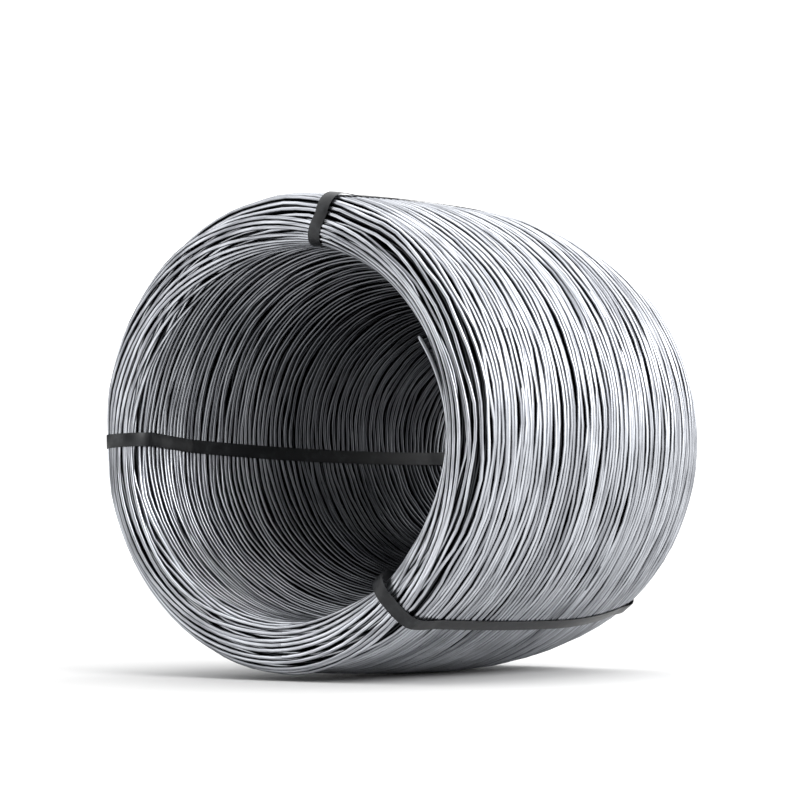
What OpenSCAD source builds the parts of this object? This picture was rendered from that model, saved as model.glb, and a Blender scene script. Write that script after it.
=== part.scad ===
// Coil of hot-rolled wire rod, lying on its side, held by three flat steel straps.
// The coil is one turned solid round its bore, with its turns standing out of both ends.
// Its turns are wound closer in towards the back, so the bore narrows behind its mouth.
// Frame: X across, Y along the coil's axis, front end at -Y, Z up. It rests on Z = 0.

/* [Coil] */
// Diameter of the bore at its mouth, in the front end
bore_d = 850; // [600:5:1000]
// Diameter of the bore where it is narrowest, in the back end
back_bore_d = 400; // [350:5:500]
// Distance from the front end at which the bore starts to narrow
mouth_len = 200; // [150:10:300]
// Depth of the wound turns at the widest turn, from the bore's mouth outwards
build_up = 135; // [110:1:260]
// Length of the coil along its axis
coil_len = 1000; // [800:5:1500]
// Distance of the widest turn from the front end
widest_at = 600; // [300:5:700]
// How much lower the turns lie at the front shoulder than at the widest turn
front_drop = 20; // [10:1:30]
// How much lower the turns lie at the back shoulder than at the widest turn
back_drop = 40; // [10:1:45]
// Rounding of the inner and the outer edge of both ends, where the wall is deep enough
end_round = 46; // [30:1:50]

/* [Rod] */
// Diameter of the wire rod
rod_d = 10; // [6:0.5:14]
// Distance from one turn to the next, where they show on the ends
turn_pitch = 13; // [12:0.5:20]
// How far the turns stand out of the solid behind them
turn_relief = 4; // [2:0.5:5]

/* [Straps] */
// Width of the strap steel
strap_w = 32; // [19:1:40]
// Thickness of the strap steel
strap_t = 1; // [0.6:0.1:1.5]
// Gap between a strap and the turns that it holds
seat_gap = 0.3; // [0.2:0.05:0.5]
// Angle of the top strap, clockwise from the top of the front end
top_angle = 8; // [0:1:40]
// Angle of the right strap, clockwise from the top of the front end
right_angle = 142; // [110:1:160]
// Angle of the left strap, clockwise from the top of the front end
left_angle = 267; // [240:1:290]

/* [Hidden] */
$fn = 180;

bore_r = bore_d / 2;
back_bore_r = back_bore_d / 2;
coil_r = bore_r + build_up;
rod_r = rod_d / 2;

// Both roundings of an end fit in its wall, with a little flat left between them
flat_share = 0.04;
front_round = min(end_round, (1 - flat_share) / 2 * (build_up - front_drop));
back_round = min(end_round, (1 - flat_share) / 2 * (coil_r - back_bore_r - back_drop));

// The outside is two arcs that meet at the widest turn. Each is given by the length that it
// covers, up to the centre of the end's rounding, and by its drop over that length.
front_run = widest_at - front_round;
back_run = coil_len - back_round - widest_at;
function arc_r(run, drop) = (run * run + drop * drop) / (2 * drop);
front_arc_r = arc_r(front_run, front_drop);
back_arc_r = arc_r(back_run, back_drop);

// Centre of an end's outer rounding. The rounding stands out of the arc by a hair where the
// two would only touch, so that their edges cross.
blend = 0.05;
function shoulder_x(arc, run, round_r) =
    coil_r - arc + sqrt(pow(arc - round_r + blend, 2) - run * run);
front_x = shoulder_x(front_arc_r, front_run, front_round);
back_x = shoulder_x(back_arc_r, back_run, back_round);

// Behind its mouth the bore narrows along a straight cone, which runs into the inner rounding
// of the back end
back_inner_x = back_bore_r + back_round;
taper_run = coil_len - back_round - mouth_len;
taper_lean = atan((bore_r - back_inner_x) / taper_run);
taper = taper_lean + asin(back_round / norm([bore_r - back_inner_x, taper_run]));

// A flat strap's edges come nearer to the bore's wall than its middle does
function strap_sag(r) = r - sqrt(r * r - strap_w * strap_w / 4);
front_sag = strap_sag(bore_r);
back_sag = strap_sag(back_bore_r);

// In a section X is the radius and Y the distance from the front end. Grow moves an outline
// outwards, off the turns, and sag (1 for a strap and 0 for the coil) moves its bore side in.

// The outside of one half: a disc cut off at the widest turn
module outside(arc, grow) {
    intersection() {
        translate([coil_r - arc, 0]) circle(r = arc + grow);
        translate([0, -coil_len]) square([2 * coil_r, coil_len]);
    }
}

// The wall between the bore and the outside, without its rounded ends. It is cut where an
// arc and an outer rounding meet, so that one runs into the other.
module wall(grow, sag) {
    mouth_x = bore_r - sag * front_sag - grow;
    corner_shift = grow * tan(taper / 2);
    cone_end_x = back_inner_x - sag * back_sag - (back_round + grow - blend) * cos(taper);
    cone_end_y = coil_len - back_round - (back_round + grow - blend) * sin(taper);
    reach = end_round + 2 * build_up;
    front_slope = front_run / (front_x - coil_r + front_arc_r);
    back_slope = back_run / (back_x - coil_r + back_arc_r);
    intersection() {
        translate([0, widest_at]) {
            outside(front_arc_r, grow);
            mirror([0, 1]) outside(back_arc_r, grow);
        }
        polygon([
            [mouth_x, front_round],
            [mouth_x, mouth_len - corner_shift],
            [cone_end_x, cone_end_y],
            [back_inner_x - sag * back_sag, coil_len - back_round],
            [back_x, coil_len - back_round],
            [back_x + reach, coil_len - back_round + reach * back_slope],
            [front_x + reach, front_round - reach * front_slope],
            [front_x, front_round]
        ]);
    }
}

// One rounded end, at Y = 0: two roundings and the flat between them
module end_cap(inner_x, outer_x, round_r, grow) {
    for (x = [inner_x, outer_x]) translate([x, round_r]) circle(r = round_r + grow);
    translate([inner_x, -grow]) square([outer_x - inner_x, round_r + grow]);
}

// The coil's whole section. The wall and the ends are grown by their own amounts.
module section(wall_grow, end_grow, sag) {
    wall(wall_grow, sag);
    end_cap(bore_r - sag * front_sag + front_round, front_x, front_round, end_grow);
    translate([0, coil_len])
        mirror([0, 1])
            end_cap(back_inner_x - sag * back_sag, back_x, back_round, end_grow);
}

// Centres of the turns that show on an end: round the inner rounding, along the flat and round
// the outer rounding, half a rod under the surface. Y is the distance from that end.
function turn_centre(s, inner_len, quarter, inner_x, outer_x, round_r) =
    s < inner_len
        ? let (a = 90 * (inner_len - s) / quarter)
          [inner_x - (round_r - rod_r) * sin(a), round_r - (round_r - rod_r) * cos(a)]
        : s < inner_len + outer_x - inner_x
            ? [inner_x + s - inner_len, rod_r]
            : let (a = 90 * (s - inner_len - outer_x + inner_x) / quarter)
              [outer_x + (round_r - rod_r) * sin(a), round_r - (round_r - rod_r) * cos(a)];

// The turns of one end. Its inner rounding starts at the bore, so behind a cone it is longer.
module end_turns(inner_x, inner_sweep, outer_x, round_r, arc, run) {
    quarter = (round_r - rod_r) * PI / 2;
    inner_len = quarter * inner_sweep / 90;
    outer_sweep = acos(run / (arc - round_r + blend));
    path = inner_len + outer_x - inner_x + quarter * outer_sweep / 90;
    last = floor(path / turn_pitch);
    for (i = [0 : last])
        translate(turn_centre(i / last * path, inner_len, quarter, inner_x, outer_x, round_r))
            circle(d = rod_d);
}

// Lays a shape that was made with Y or Z along the axis in its place over the floor
module place() {
    translate([0, -coil_len / 2, coil_r]) children();
}

module rod_coil() {
    color("silver")
        place()
            rotate([-90, 0, 0])
                rotate_extrude() {
                    section(0, -turn_relief, 0);
                    end_turns(bore_r + front_round, 90, front_x, front_round,
                        front_arc_r, front_run);
                    translate([0, coil_len])
                        mirror([0, 1])
                            end_turns(back_inner_x, 90 + taper, back_x, back_round,
                                back_arc_r, back_run);
                }
}

// A closed loop of strap steel in a plane through the axis, turned clockwise by its angle
module strap(angle) {
    color([0.2, 0.2, 0.21])
        place()
            rotate([0, angle - 90, 0])
                linear_extrude(height = strap_w, center = true)
                    difference() {
                        section(seat_gap + strap_t, seat_gap + strap_t, 1);
                        section(seat_gap, seat_gap, 1);
                    }
}

module strap_top() { strap(top_angle); }
module strap_right() { strap(right_angle); }
module strap_left() { strap(left_angle); }

rod_coil();
strap_top();
strap_right();
strap_left();
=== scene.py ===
"""Coil of wire rod on a pale studio floor: the looks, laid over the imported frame.

Everything is in metres and in the frame of the part: the coil's axis runs along Y, its front
end is at -Y, and it lies on Z = 0. The rod is made straight and then wound round the coil's
section, turn by turn, in layers that cross each other at small angles.
"""

import math
import random

import bmesh
import bpy
from mathutils import Matrix, Vector, noise


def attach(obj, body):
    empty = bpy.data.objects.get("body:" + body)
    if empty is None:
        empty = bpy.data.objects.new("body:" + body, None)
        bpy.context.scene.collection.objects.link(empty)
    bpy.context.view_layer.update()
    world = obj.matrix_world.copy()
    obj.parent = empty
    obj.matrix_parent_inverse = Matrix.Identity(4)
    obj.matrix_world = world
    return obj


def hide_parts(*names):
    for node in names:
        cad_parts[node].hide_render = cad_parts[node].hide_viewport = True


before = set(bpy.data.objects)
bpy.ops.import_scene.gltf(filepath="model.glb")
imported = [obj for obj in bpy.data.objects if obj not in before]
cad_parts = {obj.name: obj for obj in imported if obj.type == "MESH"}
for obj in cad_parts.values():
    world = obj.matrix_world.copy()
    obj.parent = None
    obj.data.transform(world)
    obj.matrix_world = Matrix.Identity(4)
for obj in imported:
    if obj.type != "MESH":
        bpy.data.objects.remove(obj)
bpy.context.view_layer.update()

# ---------------------------------------------------------------- sizes, as in the part
BORE_R = 0.425
BACK_BORE_R = 0.200
MOUTH_LEN = 0.200
BUILD_UP = 0.135
COIL_LEN = 1.000
WIDEST_AT = 0.600
FRONT_DROP = 0.020
BACK_DROP = 0.040
END_ROUND = 0.046
ROD_D = 0.010
ROD_R = ROD_D / 2
STRAP_W = 0.032
STRAP_T = 0.001
SEAT_GAP = 0.0003
COIL_R = BORE_R + BUILD_UP
STRAP_ANGLES = {"strap_top": 8, "strap_right": 142, "strap_left": 267}

# ---------------------------------------------------------------- sizes of the looks alone
# Rings of vertices in a turn of the rod, and vertices in a ring
TURN_STEPS = 80
ROD_SIDES = 6
# Gaps between neighbouring turns, where they all but touch and where they stand apart
LAYER_CLOSE, LAYER_WIDE = (0.0003, 0.0018), (0.003, 0.007)
CROSSING_CLOSE, CROSSING_WIDE = (0.0002, 0.0015), (0.003, 0.009)
# The share of the turns over an end that all but touch
CROSSING_TOUCHING = 0.7
# How far a turn strays along the surface, in a layer and over an end, and how much less it
# does so in the bore
LAYER_STRAY, CROSSING_STRAY = 0.0065, 0.004
CALM_IN_BORE = 0.5
# How far every other turn of a layer rides up, and how far any turn rises or falls besides
LAYER_RIDE = 0.0030
LAYER_RISE, CROSSING_RISE = 0.0012, 0.0015
# How far out of the surface the turns over an end lie, and how deep where a strap holds them
CROSSING_OUT, CROSSING_PRESSED = 0.0035, 0.0015
# Half the angle, in radians, over which a strap presses the turns in
PRESS_WIDTH = 0.25
# The free end's tip and root, in degrees, how far it lies before the bore's wall, how far it
# springs off it, and its rings of vertices and vertices in a ring
FREE_END_TIP, FREE_END_ROOT = 62, 100
FREE_END_BEFORE = 0.034
FREE_END_LIFT = 0.025
FREE_END_STEPS = 30
FREE_END_SIDES = 10
# Pieces that a strap is cut into along its length, the share of its thickness that is rounded
# over at the edges, and the distance under which its two ends become one
STRAP_STEPS = 400
STRAP_EDGE = 0.3
STRAP_JOIN = 0.00002
# How far the straps stand off the ends, to clear the turns that cross there, and how far
# before and after the front end they begin and stop to do so
STRAP_OVER_END = 0.0045
OVER_FRONT_BEFORE, OVER_FRONT_AFTER = 0.09, 0.02
# How far each strap leans off its angle, in degrees, at the front's outer edge, the bore's
# mouth, the bore's back and the back's outer edge
STRAP_LEANS = {"strap_top": (4.5, 0.5, 0.0, 0.0), "strap_right": (0.0, 0.0, 0.0, 0.0),
               "strap_left": (1.5, 1.7, -8.0, 0.0)}
# How far each strap springs off the turns at the bore's edge, and where and how widely
STRAP_SPRINGS = {"strap_top": 0.0, "strap_right": 0.018, "strap_left": 0.0}
SPRING_BEFORE, SPRING_WIDTH = 0.03, 0.09


# ---------------------------------------------------------------- the coil's section
class Outline:
    """The closed outline of the coil's section, walked from the widest turn over the front
    end, through the bore and over the back end. Each point is a radius, a distance from the
    front end and the way that the surface faces there."""

    # The walk's longest step
    STEP = 0.003

    def __init__(self):
        self.radius, self.along, self.heading = COIL_R, WIDEST_AT, 0.0
        self.points = []
        self.length = 0.0
        front_run, back_run = WIDEST_AT - END_ROUND, COIL_LEN - END_ROUND - WIDEST_AT
        front_arc = (front_run ** 2 + FRONT_DROP ** 2) / (2 * FRONT_DROP)
        back_arc = (back_run ** 2 + BACK_DROP ** 2) / (2 * BACK_DROP)
        front_sweep = math.asin(front_run / (front_arc - END_ROUND))
        back_sweep = math.asin(back_run / (back_arc - END_ROUND))
        front_flat = ((front_arc - END_ROUND) * (math.cos(front_sweep) - 1)
                      + BUILD_UP - 2 * END_ROUND)
        back_flat = ((back_arc - END_ROUND) * (math.cos(back_sweep) - 1)
                     + COIL_R - BACK_BORE_R - 2 * END_ROUND)
        narrowing = Vector((BORE_R - BACK_BORE_R - END_ROUND, COIL_LEN - END_ROUND - MOUTH_LEN))
        taper = math.atan2(narrowing.x, narrowing.y) + math.asin(END_ROUND / narrowing.length)
        quarter = math.pi / 2
        self.bend(front_arc, front_sweep)
        self.bend(END_ROUND, quarter - front_sweep)
        self.front_start = self.length
        self.straight(front_flat)
        self.bend(END_ROUND, quarter)
        self.mouth = self.length
        self.straight(MOUTH_LEN - END_ROUND)
        self.heading -= taper
        self.straight(math.sqrt(narrowing.length_squared - END_ROUND ** 2))
        self.back_start = self.length
        self.bend(END_ROUND, quarter + taper)
        self.straight(back_flat)
        self.bend(END_ROUND, quarter - back_sweep)
        self.back_end = self.length
        self.bend(back_arc, back_sweep)

    def facing(self):
        """The way that the surface faces, from the heading."""
        return Vector((math.cos(self.heading), -math.sin(self.heading)))

    def mark(self):
        """Keeps the point that the walk has come to."""
        self.points.append((self.length, Vector((self.radius, self.along)), self.facing()))

    def straight(self, distance):
        """Walks straight on."""
        self.bend(None, distance)

    def bend(self, radius, amount):
        """Walks on round a bend of that radius and angle, or straight on if it has no radius."""
        distance = amount if radius is None else radius * amount
        steps = max(1, math.ceil(distance / self.STEP))
        self.mark()
        for _ in range(steps):
            turn = 0.0 if radius is None else amount / steps
            self.heading += turn / 2
            face = self.facing()
            self.radius += face.y * distance / steps
            self.along -= face.x * distance / steps
            self.heading += turn / 2
            self.length += distance / steps
            self.mark()

    def at(self, distance):
        """The point and the facing at that distance along the outline."""
        distance %= self.length
        low, high = 0, len(self.points) - 1
        while high - low > 1:
            middle = (low + high) // 2
            if self.points[middle][0] <= distance:
                low = middle
            else:
                high = middle
        start, end = self.points[low], self.points[high]
        span = end[0] - start[0]
        share = (distance - start[0]) / span if span > 0 else 0.0
        return start[1].lerp(end[1], share), start[2].lerp(end[2], share).normalized()


outline = Outline()


def in_place(radius, along, angle):
    """A point of the section, turned clockwise from the top, as seen from the front end."""
    return Vector((radius * math.sin(angle), along - COIL_LEN / 2,
                   COIL_R + radius * math.cos(angle)))


def bump_at(value, middle, width):
    """1 at the middle, falling smoothly to 0 a width away."""
    share = min(1.0, abs(value - middle) / width)
    return (1 - share * share) ** 2


def over_at(value, start, end, ease=0.06):
    """1 between start and end, easing off to 0 outside them."""
    outside = min(1.0, max(0.0, max(start - value, value - end)) / ease)
    return (1 - outside * outside) ** 2


# ---------------------------------------------------------------- winding rod
def straight_rod(lengths, sides=ROD_SIDES):
    """A straight rod along X with a ring of vertices at each whole number, closed at both
    ends. Its section lies in Y and Z. It is a flat sheet that is rolled up. Each vertex keeps
    how far it faces out of the coil, from -1 to 1."""
    rod = bmesh.new()
    bmesh.ops.create_grid(rod, x_segments=lengths, y_segments=sides, size=0.5,
                          matrix=Matrix.Translation((0.5, 0, 0)))
    for vert in rod.verts:
        turned = 2 * math.pi * vert.co.y
        vert.co = (round(vert.co.x * lengths),
                   ROD_R * math.cos(turned), ROD_R * math.sin(turned))
    bmesh.ops.remove_doubles(rod, verts=rod.verts[:], dist=ROD_R / 5)
    outward = rod.verts.layers.float.new("outward")
    for vert in rod.verts:
        vert[outward] = vert.co.z / ROD_R
    ends = [edge for edge in rod.edges if edge.is_boundary]
    bmesh.ops.holes_fill(rod, edges=ends, sides=sides)
    return rod


def wind(rod, lay, start_angle, turn_steps=TURN_STEPS):
    """Winds a straight rod round the coil. lay(turns, angle) gives how far along the outline
    and how deep under the surface the middle of the rod lies after that many turns."""
    rings = {}
    for vert in rod.verts:
        ring = round(vert.co.x)
        if ring not in rings:
            turns = ring / turn_steps
            angle = start_angle + 2 * math.pi * turns
            distance, depth = lay(turns, angle)
            middle, face = outline.at(distance)
            rings[ring] = (angle, middle - face * depth, face)
        angle, middle, face = rings[ring]
        point = middle + face * vert.co.z + Vector((-face.y, face.x)) * vert.co.y
        vert.co = in_place(point.x, point.y, angle)
    bmesh.ops.recalc_face_normals(rod, faces=rod.faces[:])
    if rod.calc_volume(signed=True) < 0:
        bmesh.ops.reverse_faces(rod, faces=rod.faces[:])
    return rod


def finished(name, mesh, material):
    """Makes a bmesh an object of the part, which rides on the coil."""
    data = bpy.data.meshes.new(name)
    mesh.to_mesh(data)
    mesh.free()
    data.materials.append(material)
    data.shade_smooth()
    piece = bpy.data.objects.new(name, data)
    bpy.context.scene.collection.objects.link(piece)
    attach(piece, "root")
    return piece


def next_gap(dice, touching, close, wide):
    """The gap to the next turn. A share of the turns all but touch, and the rest stand apart."""
    return dice.uniform(*(close if dice.random() < touching else wide))


def between(values, turn):
    """The value after that many turns, where the list holds one for each whole turn."""
    whole = min(int(turn), len(values) - 2)
    return values[whole] + (values[whole + 1] - values[whole]) * (turn - whole)


def wander(distance, angle, seed, patch, ripple):
    """A smooth wander from about -1 to 1 over the coil's surface. patch is how far along the
    outline, and ripple how often in a turn, it changes. Each seed has its own part of the
    noise, well away from the others."""
    return 1.6 * noise.noise(Vector((distance / patch + 17.3 * seed,
                                     ripple * math.sin(angle), ripple * math.cos(angle))))


def strap_press(angle):
    """How far the straps press the turns in at an angle round the coil, from 0 to 1."""
    press = 0.0
    for strap_angle in STRAP_ANGLES.values():
        turned = (angle - math.radians(strap_angle) + math.pi) % (2 * math.pi) - math.pi
        press = max(press, bump_at(turned, 0.0, PRESS_WIDTH))
    return press


def layer(name, depth, touching, seed, sway, material):
    """One layer of turns all the way round the section, that deep under the surface. touching
    is the share of its turns that all but touch. The layer sways as a whole, and each turn
    strays from its neighbours on its own, over or under them."""
    dice = random.Random(seed)
    places = [0.0]
    while places[-1] < outline.length:
        places.append(places[-1] + ROD_D + next_gap(dice, touching, LAYER_CLOSE, LAYER_WIDE))
    # every other turn rides over its neighbours, by an amount of its own
    dice = random.Random(seed + 100)
    lifts = [dice.uniform(0.2, 1.0) * (1 if turn % 2 else -1) for turn in range(len(places))]

    def lay(turn, angle):
        place, lift = between(places, turn), between(lifts, turn)
        together = sway * wander(place, angle, seed, patch=0.25, ripple=1.2)
        alone = LAYER_STRAY * wander(place, angle, seed + 5, patch=0.009, ripple=4.6)
        alone *= 1 - CALM_IN_BORE * over_at(place, outline.mouth, outline.back_start)
        chance = wander(place, angle, seed + 9, patch=0.03, ripple=3.0)
        rise = LAYER_RIDE * lift + LAYER_RISE * chance
        return place + together + alone, depth - rise * (1 - strap_press(angle))

    rod = straight_rod((len(places) - 1) * TURN_STEPS)
    start = math.radians(STRAP_ANGLES["strap_top"])
    return finished(name, wind(rod, lay, start), material)


def crossing_turns(name, end, count, reach, phase, start, seed, material):
    """Turns that lie over an end and lean across it, from the bore's edge on one side to the
    outer edge on the other. end is the first one's place along the outline, and reach is how
    far it swings to either side of that, furthest on a quarter turn past the phase. They
    start at an angle where the top strap hides the rod's end, and stop where it crosses the
    other edge."""
    dice = random.Random(seed)
    places = [end]
    for _ in range(count):
        gap = next_gap(dice, CROSSING_TOUCHING, CROSSING_CLOSE, CROSSING_WIDE)
        places.append(places[-1] + ROD_D + gap)

    def lay(turn, angle):
        place = between(places, turn)
        lean = reach * math.sin(angle - math.radians(phase))
        alone = CROSSING_STRAY * wander(place, angle, seed + 5, patch=0.02, ripple=2.0)
        rise = CROSSING_RISE * wander(place, angle, seed + 9, patch=0.02, ripple=3.0)
        pressed = strap_press(angle)
        depth = (-CROSSING_OUT - rise) * (1 - pressed) + CROSSING_PRESSED * pressed
        return place + lean + alone, depth

    steps = round((count + (STRAP_ANGLES["strap_top"] - start) / 360) * TURN_STEPS)
    rod = wind(straight_rod(steps), lay, math.radians(start))
    return finished(name, rod, material)


def free_end(material):
    """The rod's free end, which springs off the bore's wall at the mouth."""
    tip_angle, root_angle = math.radians(FREE_END_TIP), math.radians(FREE_END_ROOT)

    def lay(turn, angle):
        share = min(1.0, max(0.0, (root_angle - angle) / (root_angle - tip_angle)))
        return outline.mouth - FREE_END_BEFORE, -FREE_END_LIFT * share ** 1.5

    rod = straight_rod(FREE_END_STEPS, FREE_END_SIDES)
    steps = FREE_END_STEPS * 2 * math.pi / (root_angle - tip_angle)
    return finished("rod_free_end", wind(rod, lay, tip_angle, steps), material)


def lean_at(distance, leans):
    """How far a strap leans off its angle there, on its way from edge to edge."""
    edges = (outline.front_start, outline.mouth, outline.back_start, outline.back_end,
             outline.front_start + outline.length)
    leans = leans + leans[:1]
    if distance < edges[0]:
        distance += outline.length
    past = max(edge for edge in range(4) if edges[edge] <= distance)
    share = (distance - edges[past]) / (edges[past + 1] - edges[past])
    return leans[past] + (leans[past + 1] - leans[past]) * share


def lengthwise(band):
    """The edges that run the whole length of a straight strap."""
    return [edge for edge in band.edges
            if abs(edge.verts[0].co.x - edge.verts[1].co.x) > 0.5]


def strap(name, angle, leans, spring, material):
    """A closed loop of flat strap steel, with its edges rounded over. It follows the section
    round the wall of the coil, leans off its angle and springs off the bore's edge."""
    band = bmesh.new()
    bmesh.ops.create_cube(band, size=1.0, matrix=Matrix.Diagonal((1.0, STRAP_W, STRAP_T, 1.0)))
    corners = lengthwise(band)
    bmesh.ops.bevel(band, geom=corners, offset=STRAP_T * STRAP_EDGE, offset_type="OFFSET",
                    segments=2, profile=0.5, affect="EDGES", material=-1)
    ends = [face for face in band.faces if abs(face.normal.x) > 0.9]
    bmesh.ops.delete(band, geom=ends, context="FACES_ONLY")
    bmesh.ops.subdivide_edges(band, edges=lengthwise(band), cuts=STRAP_STEPS - 1)
    for vert in band.verts:
        distance = (vert.co.x + 0.5) * outline.length
        middle, face = outline.at(distance)
        over_front = over_at(distance, outline.front_start - OVER_FRONT_BEFORE,
                             outline.mouth + OVER_FRONT_AFTER)
        over_back = over_at(distance, outline.back_start, outline.back_end)
        over_end = STRAP_OVER_END * max(over_front, over_back)
        over_end += spring * bump_at(distance, outline.mouth - SPRING_BEFORE, SPRING_WIDTH)
        turned = math.radians(angle + lean_at(distance, leans))
        # in the bore the flat strap rests on its edges, across the hollow of the wall
        sag = STRAP_W ** 2 / 8 / middle.x if face.x < -0.5 else 0.0
        point = middle + face * (SEAT_GAP + STRAP_T / 2 + over_end + sag + vert.co.z)
        across = Vector((math.cos(turned), 0, -math.sin(turned)))
        vert.co = in_place(point.x, point.y, turned) + across * vert.co.y
    bmesh.ops.remove_doubles(band, verts=band.verts[:], dist=STRAP_JOIN)
    bmesh.ops.recalc_face_normals(band, faces=band.faces[:])
    piece = finished(name + "_band", band, material)
    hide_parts(name)


# ---------------------------------------------------------------- materials
def colour(code):
    """An sRGB hex colour as the linear values that a shader takes."""
    channels = [int(code[i:i + 2], 16) / 255 for i in (1, 3, 5)]
    linear = [c / 12.92 if c <= 0.04045 else ((c + 0.055) / 1.055) ** 2.4 for c in channels]
    return linear + [1.0]


def node(tree, kind, settings=None, **links):
    """Adds a node. settings holds its properties and the values of its sockets by name, and
    links the sockets that feed it, by name with _ for a space, or by number after a _."""
    made = tree.nodes.new(kind)
    for key, value in (settings or {}).items():
        if hasattr(made, key):
            setattr(made, key, value)
        else:
            made.inputs[key].default_value = value
    for key, source in links.items():
        socket = int(key[1:]) if key[1:].isdigit() else key.replace("_", " ")
        tree.links.new(source, made.inputs[socket])
    return made


def mixed(tree, share, under, code):
    """The colour under, covered by that share with the colour of the code."""
    made = node(tree, "ShaderNodeMix", {"data_type": "RGBA"}, _0=share, _6=under)
    made.inputs[7].default_value = colour(code)
    return made.outputs[2]


def new_material(name):
    """A material with no nodes yet, and its node tree."""
    made = bpy.data.materials.new(name)
    made.use_nodes = True
    made.node_tree.nodes.clear()
    return made, made.node_tree


# What dulls and shades the steel: stains all over, painted shade inside the bore, and painted
# shade in the grooves between the turns
STAIN, BORE_PAINTED_SHADE, GROOVE_PAINTED_SHADE = "#5a5c60", "#2b2c2f", "#101113"


def drawn_steel(name, dark, light):
    """Drawn steel rod: cool and satin, streaked along the rod by the die."""
    made, tree = new_material(name)
    place = node(tree, "ShaderNodeTexCoord")
    # the pattern follows the coil: radius, place along the axis and angle round it
    round_axis = node(tree, "ShaderNodeMapping", {"Location": (0, 0, -COIL_R)},
                      Vector=place.outputs["Object"])
    parts = node(tree, "ShaderNodeSeparateXYZ", Vector=round_axis.outputs["Vector"])
    angle = node(tree, "ShaderNodeMath", {"operation": "ARCTAN2"},
                 _0=parts.outputs["X"], _1=parts.outputs["Z"])
    squares = node(tree, "ShaderNodeMath", {"operation": "MULTIPLY"},
                   _0=parts.outputs["X"], _1=parts.outputs["X"])
    radius2 = node(tree, "ShaderNodeMath", {"operation": "MULTIPLY_ADD"}, _0=parts.outputs["Z"],
                   _1=parts.outputs["Z"], _2=squares.outputs[0])
    radius = node(tree, "ShaderNodeMath", {"operation": "SQRT"}, _0=radius2.outputs[0])
    wound = node(tree, "ShaderNodeCombineXYZ", X=radius.outputs[0], Y=parts.outputs["Y"],
                 Z=angle.outputs[0])
    # one rod in a layer is lighter or duller than the next
    by_rod = node(tree, "ShaderNodeMapping", {"Scale": (110, 110, 0.9)}, Vector=wound.outputs[0])
    tone = node(tree, "ShaderNodeTexNoise", {"Scale": 1.0, "Detail": 2.0},
                Vector=by_rod.outputs["Vector"])
    # drawing marks, drawn 1.6 mm apart so that they show
    by_mark = node(tree, "ShaderNodeMapping", {"Scale": (620, 620, 2)}, Vector=wound.outputs[0])
    marks = node(tree, "ShaderNodeTexNoise", {"Scale": 1.0, "Detail": 2.0},
                 Vector=by_mark.outputs["Vector"])
    # stains a hand wide, where the steel has dulled
    stain = node(tree, "ShaderNodeTexNoise", {"Scale": 9.0, "Detail": 4.0, "Roughness": 0.6},
                 Vector=place.outputs["Object"])
    ramp = node(tree, "ShaderNodeValToRGB", Fac=tone.outputs["Fac"])
    ramp.color_ramp.elements[0].position = 0.33
    ramp.color_ramp.elements[0].color = colour(dark)
    ramp.color_ramp.elements[1].position = 0.62
    ramp.color_ramp.elements[1].color = colour(light)
    dull = node(tree, "ShaderNodeMapRange",
                {"From Min": 0.5, "From Max": 0.8, "To Min": 0.0, "To Max": 0.5},
                Value=stain.outputs["Fac"])
    stained = mixed(tree, dull.outputs[0], ramp.outputs["Color"], STAIN)
    # painted shade: the turns inside the bore are painted darker, the more so the further in
    # they are
    in_bore = node(tree, "ShaderNodeMapRange",
                   {"From Min": BORE_R + 0.014, "From Max": BORE_R + 0.002},
                   Value=radius.outputs[0])
    further_in = node(tree, "ShaderNodeMapRange",
                      {"From Min": -COIL_LEN / 2, "From Max": 0.0,
                       "To Min": 0.15, "To Max": 0.85},
                      Value=parts.outputs["Y"])
    before_back = node(tree, "ShaderNodeMapRange",
                       {"From Min": COIL_LEN / 2 - END_ROUND,
                        "From Max": COIL_LEN / 2 - 2 * END_ROUND},
                       Value=parts.outputs["Y"])
    deep_in = node(tree, "ShaderNodeMath", {"operation": "MULTIPLY"}, _0=further_in.outputs[0],
                   _1=before_back.outputs[0])
    bore_shade = node(tree, "ShaderNodeMath", {"operation": "MULTIPLY"}, _0=in_bore.outputs[0],
                _1=deep_in.outputs[0])
    bore_shaded = mixed(tree, bore_shade.outputs[0], stained, BORE_PAINTED_SHADE)
    # painted shade in the grooves between the turns, on the sides of each rod that face into the
    # coil
    outward = node(tree, "ShaderNodeAttribute", {"attribute_name": "outward"})
    groove_shade = node(tree, "ShaderNodeMapRange",
                  {"From Min": 0.75, "From Max": -0.1, "To Min": 0.0, "To Max": 0.92},
                  Value=outward.outputs["Fac"])
    groove_shaded = mixed(tree, groove_shade.outputs[0], bore_shaded, GROOVE_PAINTED_SHADE)
    rough = node(tree, "ShaderNodeMapRange", {"To Min": 0.22, "To Max": 0.4},
                 Value=marks.outputs["Fac"])
    bump = node(tree, "ShaderNodeBump", {"Strength": 0.12, "Distance": 0.0004},
                Height=marks.outputs["Fac"])
    steel = node(tree, "ShaderNodeBsdfPrincipled",
                 {"Metallic": 1.0, "Specular Tint": (0.35, 0.35, 0.35, 1)},
                 Base_Color=groove_shaded, Roughness=rough.outputs[0],
                 Normal=bump.outputs["Normal"])
    node(tree, "ShaderNodeOutputMaterial", Surface=steel.outputs["BSDF"])
    return made


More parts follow.
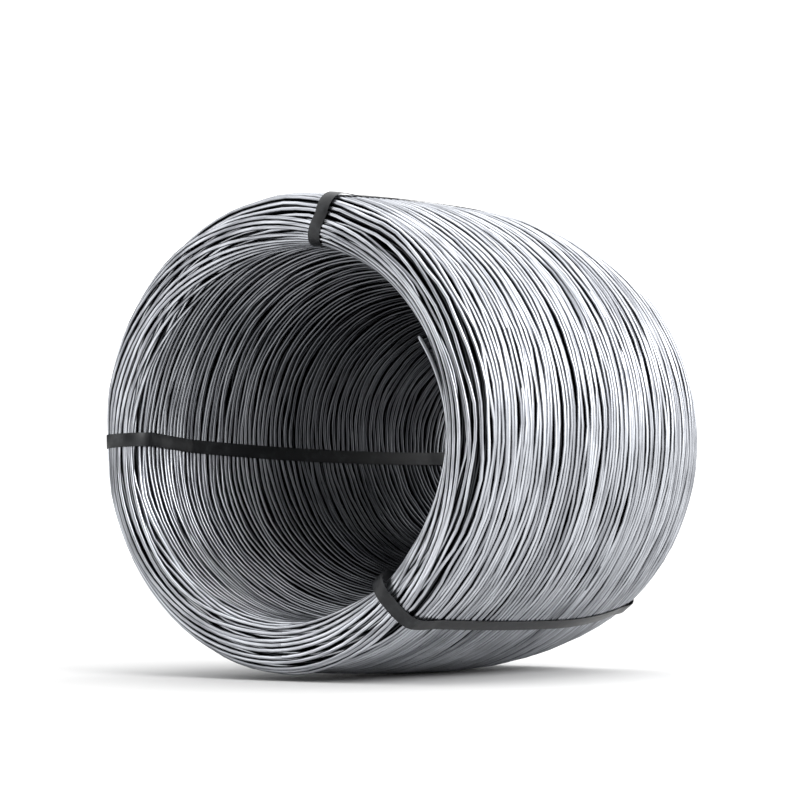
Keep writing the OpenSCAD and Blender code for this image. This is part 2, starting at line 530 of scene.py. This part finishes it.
def strap_paint():
    """Black waxed and painted strap steel: near black, satin, rubbed to grey in places."""
    made, tree = new_material("black_painted_strap_steel")
    place = node(tree, "ShaderNodeTexCoord")
    rub = node(tree, "ShaderNodeTexNoise", {"Scale": 35.0, "Detail": 5.0, "Roughness": 0.65},
               Vector=place.outputs["Object"])
    rubbed = node(tree, "ShaderNodeMapRange",
                  {"From Min": 0.5, "From Max": 0.75, "To Min": 0.0, "To Max": 0.6},
                  Value=rub.outputs["Fac"])
    tinted = node(tree, "ShaderNodeMix", {"data_type": "RGBA"}, _0=rubbed.outputs[0])
    tinted.inputs[6].default_value = colour("#202123")
    tinted.inputs[7].default_value = colour("#3f4144")
    rough = node(tree, "ShaderNodeMapRange", {"To Min": 0.3, "To Max": 0.55},
                 Value=rub.outputs["Fac"])
    bump = node(tree, "ShaderNodeBump", {"Strength": 0.3, "Distance": 0.0005},
                Height=rub.outputs["Fac"])
    paint = node(tree, "ShaderNodeBsdfPrincipled", {"Metallic": 0.35},
                 Base_Color=tinted.outputs[2], Roughness=rough.outputs[0],
                 Normal=bump.outputs["Normal"])
    node(tree, "ShaderNodeOutputMaterial", Surface=paint.outputs["BSDF"])
    return made


# The top turns are cold-drawn steel rod, bright from the die. Those under them are the same
# steel with painted shade, the darker the deeper they lie, so gaps read as near black
bright_steel = drawn_steel("bright_drawn_steel", "#92949a", "#d9dce2")
middle_shaded_steel = drawn_steel("middle_shaded_drawn_steel", "#27282a", "#434548")
deep_shaded_steel = drawn_steel("deep_shaded_drawn_steel", "#121315", "#1c1e21")
strap_finish = strap_paint()

# ---------------------------------------------------------------- the coil
top_turns = layer("rod_top_turns", depth=ROD_R, touching=0.62, seed=1, sway=0.012,
                  material=bright_steel)
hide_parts("rod_coil")
layer("rod_middle_turns", depth=0.0145, touching=0.60, seed=2, sway=0.018,
      material=middle_shaded_steel)
layer("rod_deep_turns", depth=0.0250, touching=0.62, seed=3, sway=0.010,
      material=deep_shaded_steel)
crossing_turns("rod_front_turns", outline.front_start - 0.03, count=10, reach=0.060, phase=325,
               start=12, seed=4, material=bright_steel)
crossing_turns("rod_back_turns", outline.back_start + 0.05, count=8, reach=0.060, phase=120,
               start=8, seed=6, material=bright_steel)
free_end(bright_steel)
for strap_name, strap_angle in STRAP_ANGLES.items():
    strap(strap_name, strap_angle, STRAP_LEANS[strap_name], STRAP_SPRINGS[strap_name],
          strap_finish)

# ---------------------------------------------------------------- floor, light and camera
floor_mesh = bmesh.new()
bmesh.ops.create_grid(floor_mesh, x_segments=1, y_segments=1, size=30)
floor_data = bpy.data.meshes.new("studio_floor")
floor_mesh.to_mesh(floor_data)
floor_mesh.free()
floor = bpy.data.objects.new("studio_floor", floor_data)
bpy.context.scene.collection.objects.link(floor)

# Matt and pale, so that the coil's soft shadow shows on it and little else does
floor_paint, floor_tree = new_material("pale_studio_floor")
floor_shader = node(floor_tree, "ShaderNodeBsdfPrincipled",
                    {"Base Color": colour("#cccccc"), "Roughness": 0.9})
node(floor_tree, "ShaderNodeOutputMaterial", Surface=floor_shader.outputs["BSDF"])
floor_data.materials.append(floor_paint)

# The studio is white above and behind the coil and to its right, and dim in front of it and
# to its left, so that its bore stays dark
studio = bpy.data.worlds.new("studio")
studio.use_nodes = True
sky = studio.node_tree
sky.nodes.clear()
way = node(sky, "ShaderNodeTexCoord")
way_parts = node(sky, "ShaderNodeSeparateXYZ", Vector=way.outputs["Generated"])
sideways = node(sky, "ShaderNodeMath", {"operation": "MAXIMUM"},
                _0=way_parts.outputs["X"], _1=way_parts.outputs["Y"])
bright_way = node(sky, "ShaderNodeMath", {"operation": "MAXIMUM"},
                  _0=sideways.outputs[0], _1=way_parts.outputs["Z"])
brightness = node(sky, "ShaderNodeMapRange",
                  {"interpolation_type": "SMOOTHSTEP", "From Min": 0.35, "From Max": 0.72,
                   "To Min": 0.05, "To Max": 1.75}, Value=bright_way.outputs[0])
glow = node(sky, "ShaderNodeBackground", {"Color": (1, 1, 1, 1)},
            Strength=brightness.outputs[0])
node(sky, "ShaderNodeOutputWorld", Surface=glow.outputs["Background"])
bpy.context.scene.world = studio
bpy.context.scene.view_settings.view_transform = "Standard"


def soft_sun(name, power, spread, way):
    """A very wide light, far off, that shines that way."""
    lamp = bpy.data.lights.new(name, "SUN")
    lamp.energy = power
    lamp.angle = math.radians(spread)
    holder = bpy.data.objects.new(name, lamp)
    holder.rotation_euler = Vector(way).to_track_quat("-Z", "Y").to_euler()
    bpy.context.scene.collection.objects.link(holder)


soft_sun("key_light", power=1.4, spread=30, way=(-1.0, 0.30, -0.65))
soft_sun("top_light", power=1.1, spread=45, way=(-0.1, -0.45, -1.0))
soft_sun("front_light", power=0.7, spread=40, way=(0.75, 0.60, -0.15))

middle = Vector((0, 0, COIL_R))
yaw, pitch = math.radians(34.863), math.radians(2.993)
camera_data = bpy.data.cameras.new("camera")
camera_data.sensor_width = 36
camera_data.lens = 126.135
camera_data.shift_x = -0.00325
camera_data.shift_y = -0.010625
camera = bpy.data.objects.new("camera", camera_data)
camera.location = middle + Vector((3.8043, -5.4951, -0.24))
view_way = Vector((-math.sin(yaw) * math.cos(pitch), math.cos(yaw) * math.cos(pitch),
                   math.sin(pitch)))
camera.rotation_euler = view_way.to_track_quat("-Z", "Y").to_euler()
bpy.context.scene.collection.objects.link(camera)
bpy.context.scene.camera = camera
